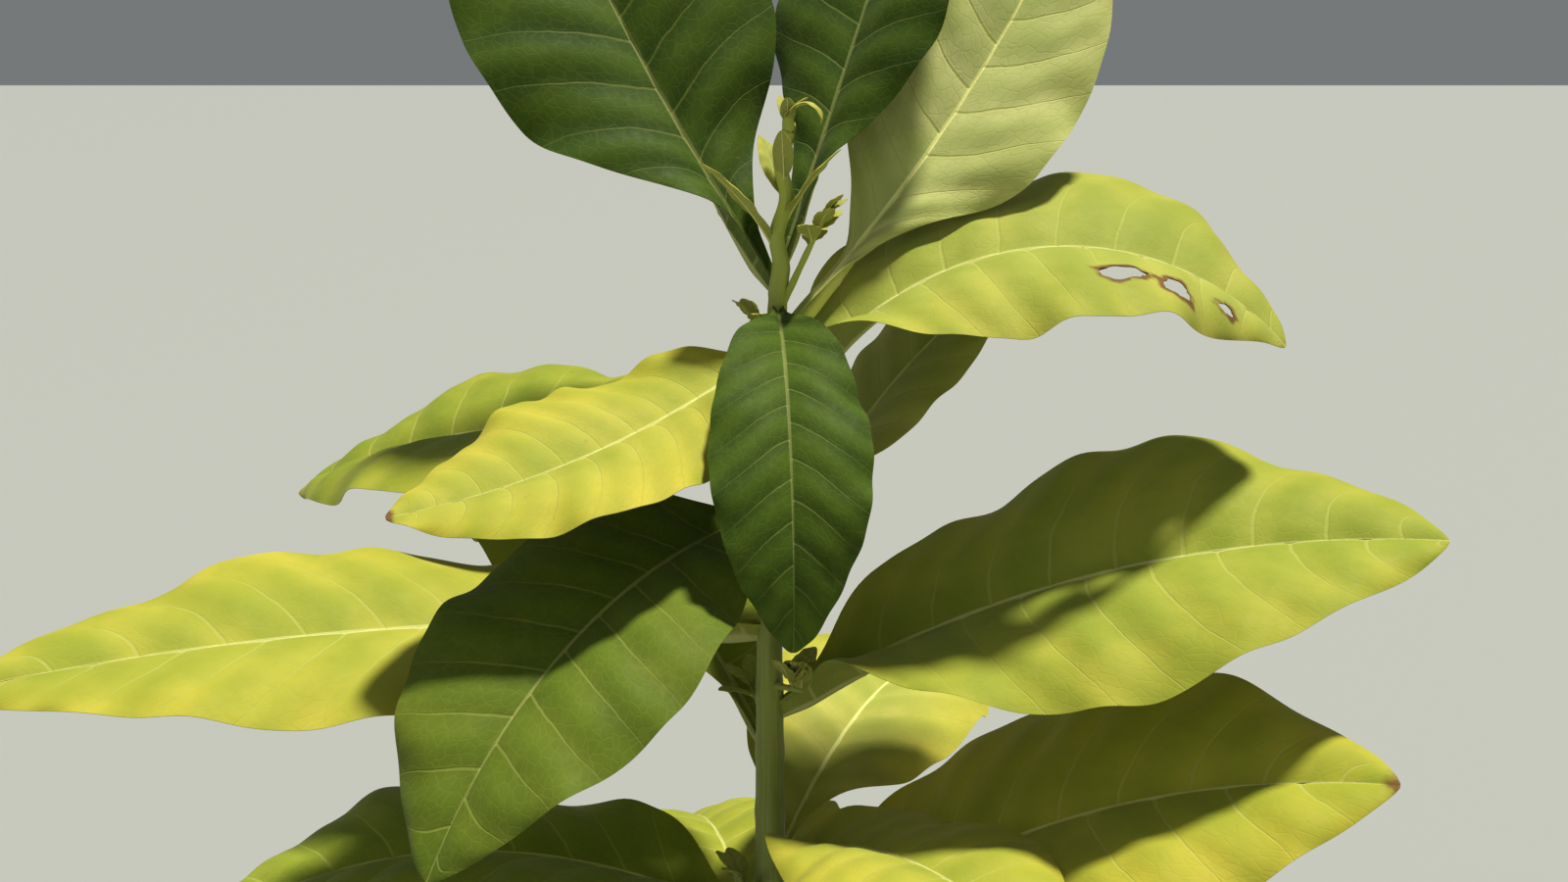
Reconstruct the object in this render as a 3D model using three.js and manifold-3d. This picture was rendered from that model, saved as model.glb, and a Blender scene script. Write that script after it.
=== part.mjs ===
// A field-grown tobacco plant: one upright stem with large leaves set round it in a spiral, side shoots in the
// leaf axils and a slender tip with young leaves. Millimetres, +Z up, origin at the foot of the stem.
// Azimuth 0 is +X and 90 is +Y, so 270 faces a viewer who looks along +Y. Elevations are above the level.
import * as THREE from "three";
import { mergeVertices } from "three/addons/utils/BufferGeometryUtils.js";
import Module from "manifold-3d";

const wasm = await Module();
wasm.setup();

const { lerp, smoothstep, clamp, degToRad } = THREE.MathUtils;
const { sin, cos, PI } = Math;

// The stem
const STEM_HEIGHT = 1185;
const STEM_FOOT_RADIUS = 19;
const STEM_TOP_RADIUS = 5.2;
const STEM_TAPER_POWER = 1.15;
const FLARE = 11;
const FLARE_HEIGHT = 34;
const STEM_LEAN_DEG = 1.3;
const STEM_SWAY = 5;
const TIP_ZIGZAG = 3.2;
const TIP_ZIGZAG_PITCH = 62;
const STEM_SIDES = 12;
const STEM_STATIONS = 42;
const NODE_SWELL = 0.9;
const CLEARANCE = 0.35;
const SMALLEST_EDGE = 0.05;
const EMBEDDED = 2.5;

// The big leaves
const LEAF_COUNT = 23;
const LOWEST_LEAF = 118;
const HIGHEST_LEAF = 1072;
const GAP_LOW = 32;
const GAP_HIGH = 12;
const GAP_BULGE = 30;
const TOP_AZIMUTH = 20;
const DIVERGENCE = 140;
const LONGEST_LEAF = 560;
const LONGEST_AT = 0.55;
const LOW_LEAF_SHARE = 0.9;
const TOP_LEAF_SHARE = 0.8;
const HALF_WIDTH_SHARE = 0.242;
const THICKNESS_SHARE = 0.0108;
const WING_LENGTH = 16;
const LEAF_STATIONS = 15;
const WALK_STEPS = 120;

// How each leaf that stands out differs from the rule for its place on the stem
const POSTURES = {
  leaf_23: { turn: 30, rise: 62, droop: 64, size: 1.0, width: 0.8, roll: 2, sweep: -4, opens: 0.5, up: 8 },
  leaf_22: { turn: -13, rise: 52, droop: 62, size: 1.12, width: 1.0, roll: -44, sweep: -6, opens: 0.4 },
  leaf_21: { turn: -26, rise: -10, droop: -104, size: 0.67, width: 0.76, roll: 0, sweep: 0 },
  leaf_20: { turn: -53, rise: 44, droop: 62, size: 0.98, width: 0.78, roll: 44, sweep: 6, starts: 0.14, opens: 0.46 },
  leaf_19: { turn: 2, rise: -22, droop: -6, size: 0.68, width: 1.04, roll: -16, sweep: -22, opens: 0.16, up: 20 },
  leaf_18: { turn: 0, rise: 58, droop: -49, size: 0.91, width: 1.06, roll: 22, sweep: -11 },
  leaf_17: { turn: 14, rise: 9, droop: -30, size: 0.96, roll: -16, sweep: 0 },
  leaf_16: { turn: -48, rise: 2, droop: -58, size: 0.8, roll: -14, sweep: 0 },
  leaf_15: { turn: -34, rise: 62, droop: 22, size: 0.7, width: 0.62, roll: 10, sweep: 0 },
  leaf_14: { turn: -3, rise: 9, droop: -8, size: 1.14, width: 0.74, roll: -16, sweep: 0 },
  leaf_13: { turn: 8, rise: 35, droop: 0, size: 1.02, width: 1.06, roll: 26, sweep: 0, up: -18 },
  leaf_11: { turn: 45, rise: 34, droop: -24, size: 0.69, width: 0.96, roll: 2, sweep: 0, up: -44 },
  leaf_10: { turn: 24, rise: 34, droop: -26, size: 0.8, roll: 10, sweep: 0 },
  leaf_08: { turn: 15, rise: 50, droop: 6, size: 1.08, roll: 28, sweep: 0 },
};

// Holes that insects ate in leaf_18: share of its length, share of its half width, and the half axes
const HOLED_LEAF = "leaf_18";
const HOLES = [
  { s: 0.67, u: 0.54, long: 20, wide: 10, turn: 20 },
  { s: 0.77, u: 0.64, long: 13, wide: 9, turn: -30 },
  { s: 0.87, u: 0.56, long: 8, wide: 5, turn: 10 },
];

// The young leaves on the slender tip, from the lowest up
const YOUNG_COUNT = 5;
const YOUNG_LOWEST = 1094;
const YOUNG_HIGHEST = 1160;
const YOUNG_LONGEST = 92;
const YOUNG_SHORTEST = 34;
const YOUNG_AZIMUTH = 205;
const YOUNG_HALF_WIDTH_SHARE = 0.15;

// The side shoots: the big leaf in whose axil each one grows, its height above the leaf and its posture
const SHOOTS = [
  { leaf: 13, above: 4, turn: -46, rise: 12, length: 42, leaves: 7, leafLength: 42, stand: 30, wide: 0.32 },
  { leaf: 20, above: 20, turn: -46, rise: 64, length: 84, leaves: 6, leafLength: 44 },
  { leaf: 19, above: 29, turn: -44, rise: 40, length: 20, leaves: 3, leafLength: 38 },
  { leaf: 12, above: 14, turn: 0, rise: 50, length: 36, leaves: 4, leafLength: 46 },
  { leaf: 9, above: 15, turn: 8, rise: 52, length: 34, leaves: 4, leafLength: 46 },
];
const SHOOT_RADIUS = 3.4;
const SHOOT_SPREAD = 95;

// The bud at the tip and the small hooked leaves round it
const BUD_RADIUS = 5;
const BUD_HEIGHT = 13;
const BUD_LEAVES = 3;
const BUD_LEAF_LENGTH = 30;
const HOOK_LENGTH = 50;
const HOOK_AZIMUTH = 350;
const TIP_GAP = 0.4;

const rad = degToRad;

// A repeatable number from 0 to 1 for each pair of whole numbers
function seeded(a, b) {
  const x = sin(a * 12.9898 + b * 78.233) * 43758.5453;
  return x - Math.floor(x);
}

// The direction of an azimuth and an elevation
function direction(azimuth, elevation) {
  const a = rad(azimuth);
  const e = rad(elevation);
  return new THREE.Vector3(cos(e) * cos(a), cos(e) * sin(a), sin(e));
}

// The middle of the stem at a height
function stemMiddle(z) {
  const t = z / STEM_HEIGHT;
  const x = z * Math.tan(rad(STEM_LEAN_DEG)) + STEM_SWAY * sin(2 * PI * t);
  const y = STEM_SWAY * (cos(2 * PI * t) - 1) * 0.5;
  const zigzag = TIP_ZIGZAG * smoothstep(z, 1050, 1100) * sin((2 * PI * z) / TIP_ZIGZAG_PITCH);
  return new THREE.Vector3(x + zigzag, y, z);
}

// The radius of the stem at a height, with its root flare and a swelling at each leaf
function stemRadius(z, leafHeights) {
  const t = clamp(z / STEM_HEIGHT, 0, 1);
  const taper = lerp(STEM_FOOT_RADIUS, STEM_TOP_RADIUS, t ** STEM_TAPER_POWER);
  const flare = FLARE * Math.exp(-z / FLARE_HEIGHT);
  const swell = leafHeights.reduce((sum, h) => sum + Math.exp(-(((z - h) / 9) ** 2)), 0);
  return taper + flare + NODE_SWELL * Math.min(1, swell);
}

// The foot of a leaf: a little inside the stem's surface, on the side that the leaf grows to
function leafFoot(z, azimuth) {
  const reach = stemRadius(z, []) - EMBEDDED;
  return stemMiddle(z).addScaledVector(direction(azimuth, 0), reach);
}

// A closed surface through rings of points. Each ring is a top row and a bottom row of equal length.
function loft(rings) {
  const count = rings[0].length;
  const half = count / 2;
  const positions = rings.flat().flatMap((p) => [p.x, p.y, p.z]);
  const faces = [];
  for (let r = 0; r + 1 < rings.length; r++) {
    for (let i = 0; i < count; i++) {
      const a = r * count + i;
      const b = r * count + ((i + 1) % count);
      faces.push(a, b, b + count, a, b + count, a + count);
    }
  }
  const last = (rings.length - 1) * count;
  for (let i = 0; i + 1 < half; i++) {
    const j = count - 1 - i;
    faces.push(i, j, j - 1, i, j - 1, i + 1);
    faces.push(last + i, last + j - 1, last + j, last + i, last + i + 1, last + j - 1);
  }
  const geometry = new THREE.BufferGeometry();
  geometry.setAttribute("position", new THREE.Float32BufferAttribute(positions, 3));
  geometry.setIndex(faces);
  return geometry;
}

// A closed geometry as a manifold-3d solid with its faces pointing out
function solidOf(geometry) {
  const merged = mergeVertices(geometry, 1e-4);
  const vertProperties = merged.attributes.position.array;
  const triVerts = new Uint32Array(merged.index.array);
  const made = new wasm.Manifold(new wasm.Mesh({ numProp: 3, vertProperties, triVerts }));
  if (made.volume() > 0) return made;
  for (let i = 0; i < triVerts.length; i += 3) {
    [triVerts[i + 1], triVerts[i + 2]] = [triVerts[i + 2], triVerts[i + 1]];
  }
  return new wasm.Manifold(new wasm.Mesh({ numProp: 3, vertProperties, triVerts }));
}

// The largest piece of a solid, so that a cut leaves no loose scrap
function largest(solid) {
  const pieces = solid.simplify(SMALLEST_EDGE).decompose();
  return pieces.reduce((a, b) => (a.volume() > b.volume() ? a : b));
}

// A manifold-3d solid as a geometry
function geometryOf(solid) {
  const mesh = solid.getMesh();
  const geometry = new THREE.BufferGeometry();
  geometry.setAttribute("position", new THREE.BufferAttribute(mesh.vertProperties.slice(), 3));
  geometry.setIndex(new THREE.BufferAttribute(mesh.triVerts.slice(), 1));
  geometry.computeVertexNormals();
  return geometry;
}

// The height of each big leaf on the stem, from the lowest up: gaps are widest at mid height
function leafHeightsOnStem() {
  const gaps = [];
  for (let i = 0; i + 1 < LEAF_COUNT; i++) {
    const t = i / (LEAF_COUNT - 2);
    gaps.push(lerp(GAP_LOW, GAP_HIGH, t) + GAP_BULGE * sin(PI * t));
  }
  const scale = (HIGHEST_LEAF - LOWEST_LEAF) / gaps.reduce((a, b) => a + b, 0);
  const heights = [LOWEST_LEAF];
  for (const gap of gaps) heights.push(heights[heights.length - 1] + gap * scale);
  return heights;
}

// The posture and size of big leaf number n, which is 1 for the lowest
function bigLeaf(n, height) {
  const h = (n - 1) / (LEAF_COUNT - 1);
  const name = `leaf_${String(n).padStart(2, "0")}`;
  const own = POSTURES[name] ?? {};
  const share =
    h < LONGEST_AT
      ? 1 - (1 - LOW_LEAF_SHARE) * (1 - h / LONGEST_AT) ** 2
      : 1 - (1 - TOP_LEAF_SHARE) * ((h - LONGEST_AT) / (1 - LONGEST_AT)) ** 2;
  const length = LONGEST_LEAF * share * (own.size ?? 1);
  const turn = own.turn ?? 12 * (seeded(n, 1) - 0.5);
  const azimuth = TOP_AZIMUTH + DIVERGENCE * (LEAF_COUNT - n) + turn;
  return {
    name,
    seed: n,
    foot: leafFoot(height + (own.up ?? 0), azimuth),
    azimuth,
    rise: own.rise ?? lerp(16, 62, h ** 1.2) + 6 * (seeded(n, 2) - 0.5),
    droop: own.droop ?? lerp(-37, 10, h ** 3) + 10 * (seeded(n, 3) - 0.5),
    roll: own.roll ?? 16 * (seeded(n, 4) - 0.5),
    sweep: own.sweep ?? 20 * (seeded(n, 5) - 0.5),
    length,
    halfWidth: length * HALF_WIDTH_SHARE * (own.width ?? 1),
    thickness: length * THICKNESS_SHARE,
    clasp: 0.5 * stemRadius(height, []),
    starts: own.starts ?? 0,
    opens: own.opens ?? 0.2,
    least: 2.2,
    stations: LEAF_STATIONS,
  };
}

// Half the width of a leaf at a share s of its length: clasping wings, a narrow neck, then the broad blade
function halfWidthAt(leaf, s) {
  const blade = Math.max(0, sin(PI * s ** 1.14)) ** 0.8 * smoothstep(s, leaf.starts, leaf.opens);
  const neck = 0.07 * (1 - s) ** 2;
  const wing = leaf.clasp * Math.exp(-(((s * leaf.length) / WING_LENGTH) ** 2));
  return leaf.halfWidth * (blade + neck) + wing + leaf.least;
}

// The midrib as stations of position and frame, walked in small steps along the leaf
function midrib(leaf) {
  const place = leaf.foot.clone();
  const stations = [];
  const step = leaf.length / WALK_STEPS;
  for (let i = 0; i <= WALK_STEPS; i++) {
    const s = i / WALK_STEPS;
    const elevation = rad(lerp(leaf.rise, leaf.droop, s ** 1.15));
    const azimuth = rad(leaf.azimuth + leaf.sweep * s * s);
    const along = new THREE.Vector3(
      cos(elevation) * cos(azimuth),
      cos(elevation) * sin(azimuth),
      sin(elevation),
    );
    const side = new THREE.Vector3(-sin(azimuth), cos(azimuth), 0);
    const up = new THREE.Vector3().crossVectors(along, side);
    const roll = rad(leaf.roll * smoothstep(s, 0.02, 0.4));
    side.applyAxisAngle(along, roll);
    up.applyAxisAngle(along, roll);
    stations.push({ s, place: place.clone(), side, up });
    place.addScaledVector(along, step);
  }
  return stations;
}

// A point in the middle of the blade, u from 0 at the midrib to 1 at the margin, and the direction out of its face
function bladePoint(leaf, station, way, u) {
  const { s, place, side, up } = station;
  const width = halfWidthAt(leaf, s);
  const fold = rad(lerp(48, 24, smoothstep(s, 0.02, 0.3)));
  const curl = rad(lerp(1, 44, smoothstep(s, 0.05, 0.4)));
  const across = (width / curl) * (sin(fold) - sin(fold - curl * u));
  const lift = (width / curl) * (cos(fold - curl * u) - cos(fold));
  const phase = seeded(leaf.seed, way > 0 ? 6 : 7);
  const calm = smoothstep(s, 0.08, 0.25) * (1 - smoothstep(s, 0.85, 1));
  const slow = sin(2 * PI * (2.2 * s + phase));
  const quick = sin(2 * PI * (5.3 * s + 3 * phase));
  const wave = leaf.halfWidth * calm * u * u * (0.06 * slow + 0.03 * quick);
  const angle = fold - curl * u;
  const point = place
    .clone()
    .addScaledVector(side, way * across)
    .addScaledVector(up, lift + wave);
  const out = up
    .clone()
    .multiplyScalar(cos(angle))
    .addScaledVector(side, -way * sin(angle));
  return { point, out };
}

// The solid of a leaf: a thin blade with a keel under its midrib, from the middle of its stem to its tip
function leafSolid(leaf) {
  const all = midrib(leaf);
  const rings = [];
  for (let i = 0; i < leaf.stations; i++) {
    const t = i / (leaf.stations - 1);
    const station = all[Math.round(WALK_STEPS * (t - 0.05 * sin(2 * PI * t)))];
    const width = halfWidthAt(leaf, station.s);
    const ribHalf = Math.min(0.45, (leaf.length * 0.012 * (1.1 - station.s)) / width);
    const keel = leaf.length * 0.022 * (1 - station.s) ** 1.2;
    const half = Math.min(leaf.thickness / 2, 0.3 + 0.3 * width);
    // The innermost top points keep clear of each other in the fold of a narrow neck
    const inner = clamp((half * 1.15 + 1) / width, 0.22, 0.4);
    const top = leaf.small ? [-1, 0, 1] : [-1, -0.6, -inner, 0, inner, 0.6, 1];
    const bottom = leaf.small ? [1, 0, -1] : [1, 0.62, ribHalf, 0, -ribHalf, -0.62, -1];
    const ring = [];
    for (const v of top) {
      const { point, out } = bladePoint(leaf, station, Math.sign(v) || 1, Math.abs(v));
      ring.push(v === 0 ? point.addScaledVector(station.up, half) : point.addScaledVector(out, half));
    }
    for (const v of bottom) {
      const { point, out } = bladePoint(leaf, station, Math.sign(v) || 1, Math.abs(v));
      ring.push(
        v === 0
          ? point.addScaledVector(station.up, -half - keel)
          : point.addScaledVector(out, -half),
      );
    }
    rings.push(ring);
  }
  return solidOf(loft(rings));
}

// The solid of the stem, made fatter by a margin where it is used to cut what meets it
function stemSolid(leafHeights, margin) {
  const rings = [];
  for (let i = 0; i < STEM_STATIONS; i++) {
    const t = i / (STEM_STATIONS - 1);
    const z = STEM_HEIGHT * t ** 1.25;
    const middle = stemMiddle(z);
    const radius = stemRadius(z, leafHeights) + margin;
    const ring = [];
    for (let j = 0; j < STEM_SIDES; j++) {
      const a = (2 * PI * j) / STEM_SIDES;
      ring.push(new THREE.Vector3(middle.x + radius * cos(a), middle.y + radius * sin(a), z));
    }
    rings.push(ring);
  }
  return solidOf(loft(rings));
}

// A small leaf of a shoot, of the tip or of the bud
function smallLeaf(foot, azimuth, rise, droop, length, halfWidth, seed) {
  return {
    foot,
    azimuth,
    rise,
    droop,
    roll: 0,
    sweep: 0,
    length,
    halfWidth,
    thickness: Math.max(0.9, length * 0.016),
    clasp: 0,
    starts: 0,
    opens: 0.2,
    least: 1.3,
    stations: 5,
    small: true,
    seed,
  };
}

// A tapered round bar between two points
function barSolid(from, to, radiusFrom, radiusTo, sides) {
  const along = to.clone().sub(from);
  const length = along.length();
  const bar = new THREE.CylinderGeometry(radiusTo, radiusFrom, length, sides, 1);
  const turn = new THREE.Quaternion().setFromUnitVectors(
    new THREE.Vector3(0, 1, 0),
    along.normalize(),
  );
  bar.deleteAttribute("uv");
  bar.deleteAttribute("normal");
  bar.applyQuaternion(turn);
  bar.translate((from.x + to.x) / 2, (from.y + to.y) / 2, (from.z + to.z) / 2);
  return solidOf(bar);
}

// A side shoot: a short stem with its leaves, the outer ones longest, joined into one solid
function shootSolid(shoot, index) {
  const height = heights[shoot.leaf - 1] + shoot.above;
  const azimuth = bigLeaf(shoot.leaf, height).azimuth + shoot.turn;
  const from = stemMiddle(height);
  const reach = stemRadius(height, []) + shoot.length;
  const to = from.clone().addScaledVector(direction(azimuth, shoot.rise), reach);
  const parts = [barSolid(from, to, SHOOT_RADIUS, SHOOT_RADIUS * 0.6, 6)];
  for (let i = 0; i < shoot.leaves; i++) {
    const t = (i + 0.5) / shoot.leaves;
    const foot = from.clone().lerp(to, lerp(0.66, 1, t));
    const turn = azimuth + (i % 2 === 0 ? 1 : -1) * SHOOT_SPREAD * (1 - i / shoot.leaves);
    const length = shoot.leafLength * lerp(1, 0.62, t);
    const rise = lerp(34, 66, t) + (shoot.stand ?? 0);
    const halfWidth = length * (shoot.wide ?? 0.22);
    const seed = 40 + index * 9 + i;
    const leaf = smallLeaf(foot, turn, rise, rise - 34, length, halfWidth, seed);
    parts.push(leafSolid(leaf));
  }
  return largest(wasm.Manifold.union(parts).subtract(stemRoom));
}

// The bud: a pointed knob on the tip with small leaves that hook over
function budSolid() {
  const foot = stemMiddle(STEM_HEIGHT);
  foot.z += TIP_GAP;
  const knob = new THREE.SphereGeometry(1, 10, 8);
  knob.deleteAttribute("uv");
  knob.deleteAttribute("normal");
  knob.rotateX(PI / 2);
  knob.scale(BUD_RADIUS, BUD_RADIUS, BUD_HEIGHT);
  knob.translate(foot.x, foot.y, foot.z + 4);
  const parts = [solidOf(knob)];
  const place = foot.clone();
  place.z += 3;
  for (let i = 0; i < BUD_LEAVES; i++) {
    const length = BUD_LEAF_LENGTH * (1 - 0.08 * i);
    const azimuth = YOUNG_AZIMUTH + DIVERGENCE * (i + 1);
    parts.push(leafSolid(smallLeaf(place, azimuth, 84, 20 + 16 * i, length, length * 0.2, 90 + i)));
  }
  const hook = smallLeaf(place, HOOK_AZIMUTH, 98, -108, HOOK_LENGTH, HOOK_LENGTH * 0.18, 95);
  parts.push(leafSolid({ ...hook, stations: 9 }));
  return largest(wasm.Manifold.union(parts).trimByPlane([0, 0, 1], foot.z));
}

// A young leaf on the slender tip
function youngSolid(i) {
  const t = i / (YOUNG_COUNT - 1);
  const azimuth = YOUNG_AZIMUTH + DIVERGENCE * i;
  const foot = leafFoot(lerp(YOUNG_LOWEST, YOUNG_HIGHEST, t), azimuth);
  const length = lerp(YOUNG_LONGEST, YOUNG_SHORTEST, t);
  const leaf = smallLeaf(
    foot,
    azimuth,
    lerp(58, 74, t),
    lerp(34, 60, t),
    length,
    length * YOUNG_HALF_WIDTH_SHARE,
    70 + i,
  );
  return largest(leafSolid(leaf).subtract(stemRoom));
}

// A leaf's holes: each one is an oval bar through its near half
function cutHoles(leaf, solid) {
  const all = midrib(leaf);
  return HOLES.reduce((left, hole) => {
    const station = all[Math.round(hole.s * WALK_STEPS)];
    const { point, out } = bladePoint(leaf, station, -1, hole.u);
    const oval = new THREE.CylinderGeometry(1, 1, 24, 10, 1);
    oval.deleteAttribute("uv");
    oval.deleteAttribute("normal");
    oval.scale(hole.long, 1, hole.wide);
    oval.rotateY(rad(hole.turn));
    const along = new THREE.Vector3().crossVectors(station.side, out).normalize();
    const basis = new THREE.Matrix4().makeBasis(
      along,
      out,
      new THREE.Vector3().crossVectors(along, out),
    );
    oval.applyMatrix4(basis);
    oval.translate(point.x, point.y, point.z);
    return left.subtract(solidOf(oval));
  }, solid);
}

const heights = leafHeightsOnStem();
const stem = stemSolid(heights, 0);
const stemRoom = stemSolid(heights, CLEARANCE);

const plant = new THREE.Group();
const stemGreen = new THREE.MeshStandardMaterial({ color: 0x8a9a3c, roughness: 0.6, metalness: 0 });
const leafGreen = new THREE.MeshStandardMaterial({ color: 0x86a02c, roughness: 0.55, metalness: 0 });
const youngGreen = new THREE.MeshStandardMaterial({ color: 0xb0bc3e, roughness: 0.55, metalness: 0 });

function add(name, solid, material) {
  const mesh = new THREE.Mesh(geometryOf(solid), material);
  mesh.name = name;
  plant.add(mesh);
}

add("stem", stem, stemGreen);
heights.forEach((height, i) => {
  const leaf = bigLeaf(i + 1, height);
  const whole = leafSolid(leaf);
  const holed = leaf.name === HOLED_LEAF ? cutHoles(leaf, whole) : whole;
  add(leaf.name, largest(holed.subtract(stemRoom)), leafGreen);
});
SHOOTS.forEach((shoot, i) => add(`side_shoot_${i + 1}`, shootSolid(shoot, i), youngGreen));
for (let i = 0; i < YOUNG_COUNT; i++) add(`young_leaf_${i + 1}`, youngSolid(i), youngGreen);
add("tip_bud", budSolid(), youngGreen);

export default plant;
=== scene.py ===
"""A field-grown tobacco plant in a plain pale studio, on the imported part's frame.

Every leaf follows the rule of its solid, written again with a finer grid: the veins, the puckered
blade between them, the keel under the midrib and the insect holes are all in the mesh. Unless a
comment says otherwise, lengths are millimetres and angles degrees. Azimuth 0 is +X and 90 is +Y.
"""

import math

import bpy
import numpy as np
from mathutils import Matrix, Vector


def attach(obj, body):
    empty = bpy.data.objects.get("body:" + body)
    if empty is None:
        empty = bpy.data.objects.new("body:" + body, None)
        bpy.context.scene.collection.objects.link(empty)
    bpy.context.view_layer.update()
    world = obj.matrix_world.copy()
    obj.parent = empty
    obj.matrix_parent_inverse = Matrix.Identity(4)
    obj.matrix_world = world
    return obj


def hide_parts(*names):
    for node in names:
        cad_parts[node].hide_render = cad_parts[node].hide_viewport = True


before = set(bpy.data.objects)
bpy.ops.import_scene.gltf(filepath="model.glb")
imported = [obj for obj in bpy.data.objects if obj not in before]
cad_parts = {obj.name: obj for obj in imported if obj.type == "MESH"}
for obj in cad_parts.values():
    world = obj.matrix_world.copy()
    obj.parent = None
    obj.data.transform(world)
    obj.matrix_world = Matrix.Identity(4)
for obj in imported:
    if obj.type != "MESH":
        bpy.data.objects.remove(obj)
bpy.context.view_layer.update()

MM = 0.001

# The stem
STEM_HEIGHT = 1185
STEM_FOOT_RADIUS = 19
STEM_TOP_RADIUS = 5.2
STEM_TAPER_POWER = 1.15
FLARE = 11
FLARE_HEIGHT = 34
STEM_LEAN_DEG = 1.3
STEM_SWAY = 5
TIP_ZIGZAG = 3.2
TIP_ZIGZAG_PITCH = 62
ZIGZAG_FROM = 1050
ZIGZAG_FULL_AT = 1100
NODE_SWELL = 0.9
NODE_SWELL_REACH = 9
EMBEDDED = 2.5
STEM_SIDES = 64
STEM_ROWS = 560
# The rib that runs down for each leaf, the collar at its top, and the fine ribs all round. The two
# half angles are radians
RIB_HEIGHT = 0.55
RIB_FADES_OVER = 46
RIB_STARTS_ABOVE = 4
RIB_HALF_ANGLE = 0.42
COLLAR_HEIGHT = 0.5
COLLAR_BELOW = 5
COLLAR_DEPTH = 3.2
COLLAR_HALF_ANGLE = 0.85
FINE_RIB_HEIGHT = 0.12
FINE_RIBS = 9

# The big leaves
LEAF_COUNT = 23
LOWEST_LEAF = 118
HIGHEST_LEAF = 1072
GAP_LOW = 32
GAP_HIGH = 12
GAP_BULGE = 30
TOP_AZIMUTH = 20
DIVERGENCE = 140
LONGEST_LEAF = 560
LONGEST_AT = 0.55
# The posture of a leaf that POSTURES doesn't name, at the foot and the top of the stem, and how
# widely the leaves scatter round it
RISE_LOW, RISE_HIGH, RISE_SCATTER = 16, 62, 6
DROOP_LOW, DROOP_HIGH, DROOP_SCATTER = -37, 10, 10
TURN_SCATTER = 12
ROLL_SCATTER = 16
SWEEP_SCATTER = 20
# The tones of a leaf that TONES doesn't name
YELLOW_LEAST, YELLOW_SCATTER, SHADE_SCATTER = 0.3, 0.5, 0.3
CLASP_SHARE = 0.5
LOW_LEAF_SHARE = 0.9
TOP_LEAF_SHARE = 0.8
HALF_WIDTH_SHARE = 0.242
WING_LENGTH = 16
WALK_STEPS = 120
BIG_LEAST_HALF_WIDTH = 2.2
SMALL_LEAST_HALF_WIDTH = 1.3
# Half of the fold across the midrib and the curl of each half, from the foot to the middle
FOLD_AT_FOOT = 48
FOLD_LATER = 24
CURL_AT_FOOT = 1
CURL_LATER = 44
# The foot runs on into the stem over this share of the leaf and is narrowed there
BURIED_SHARE = 0.05
LONGEST_BURIED = 16
BURIED_DEPTH_SHARE = 0.8
GRIP_SHARE = 0.6
# How far points at the margin lie ahead of those at the midrib, as the lateral veins do
VEIN_SKEW = 0.42
BLADE_HALF_THICKNESS = 0.55
MARGIN_HALF_THICKNESS = 0.32
SMALL_LEAF_THINNER = 0.7
# Heights of the relief, as shares of the half width or of the length
PUCKER_SHARE = 0.019
GROOVE_SHARE = 0.0062
KEEL_SHARE = 0.022
VEIN_RIDGE_SHARE = 0.0032
# The small waves of the blade and of its margin, in millimetres
BUCKLE = 0.55
RUFFLE = 2.4
# The grid of each leaf
ROWS = 128
BLADE_COLUMNS = 23
RIB_COLUMNS = 4
SMALL_BLADE_COLUMNS = 8
YOUNG_ROWS = 34
SHOOT_LEAF_ROWS = 30
BUD_LEAF_ROWS = 26
HOOK_ROWS = 44

# How each leaf that stands out differs from the rule for its place on the stem
POSTURES = {
    23: dict(turn=30, rise=62, droop=64, size=1.0, width=0.8, roll=2, sweep=-4, opens=0.5, up=8),
    22: dict(turn=-13, rise=52, droop=62, size=1.12, width=1.0, roll=-44, sweep=-6, opens=0.4),
    21: dict(turn=-26, rise=-10, droop=-104, size=0.67, width=0.76, roll=0, sweep=0),
    20: dict(turn=-53, rise=44, droop=62, size=0.98, width=0.78, roll=44, sweep=6, starts=0.14, opens=0.46),
    19: dict(turn=2, rise=-22, droop=-6, size=0.68, width=1.04, roll=-16, sweep=-22, opens=0.16, up=20),
    18: dict(turn=0, rise=58, droop=-49, size=0.91, width=1.06, roll=22, sweep=-11),
    17: dict(turn=14, rise=9, droop=-30, size=0.96, roll=-16, sweep=0),
    16: dict(turn=-48, rise=2, droop=-58, size=0.8, roll=-14, sweep=0),
    15: dict(turn=-34, rise=62, droop=22, size=0.7, width=0.62, roll=10, sweep=0),
    14: dict(turn=-3, rise=9, droop=-8, size=1.14, width=0.74, roll=-16, sweep=0),
    13: dict(turn=8, rise=35, droop=0, size=1.02, width=1.06, roll=26, sweep=0, up=-18),
    11: dict(turn=45, rise=34, droop=-24, size=0.69, width=0.96, roll=2, sweep=0, up=-44),
    10: dict(turn=24, rise=34, droop=-26, size=0.8, roll=10, sweep=0),
    8: dict(turn=15, rise=50, droop=6, size=1.08, roll=28, sweep=0),
}

# How ripe and yellow each leaf is, from 0 to 1, and how its green is painted: up to 1 darkened with painted
# shade, down to -1 paled with painted light
TONES = {
    23: (0.0, 1.0),
    22: (0.0, 1.0),
    21: (0.0, 0.95),
    20: (0.35, -1.0),
    19: (0.95, -0.2),
    18: (0.6, -0.25),
    17: (0.45, 0.1),
    16: (0.1, 0.75),
    15: (0.6, -0.7),
    14: (0.85, -0.1),
    13: (0.6, -0.1),
    11: (0.95, -0.1),
    10: (0.9, -0.6),
    8: (0.95, 0.0),
}

# Holes that insects ate: share of the leaf's length, share of its half width, the half axes and the turn
HOLED_LEAF = 18
HOLES = [
    dict(s=0.67, u=0.54, long=20, wide=10, turn=20),
    dict(s=0.77, u=0.64, long=13, wide=9, turn=-30),
    dict(s=0.87, u=0.56, long=8, wide=5, turn=10),
]

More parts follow.
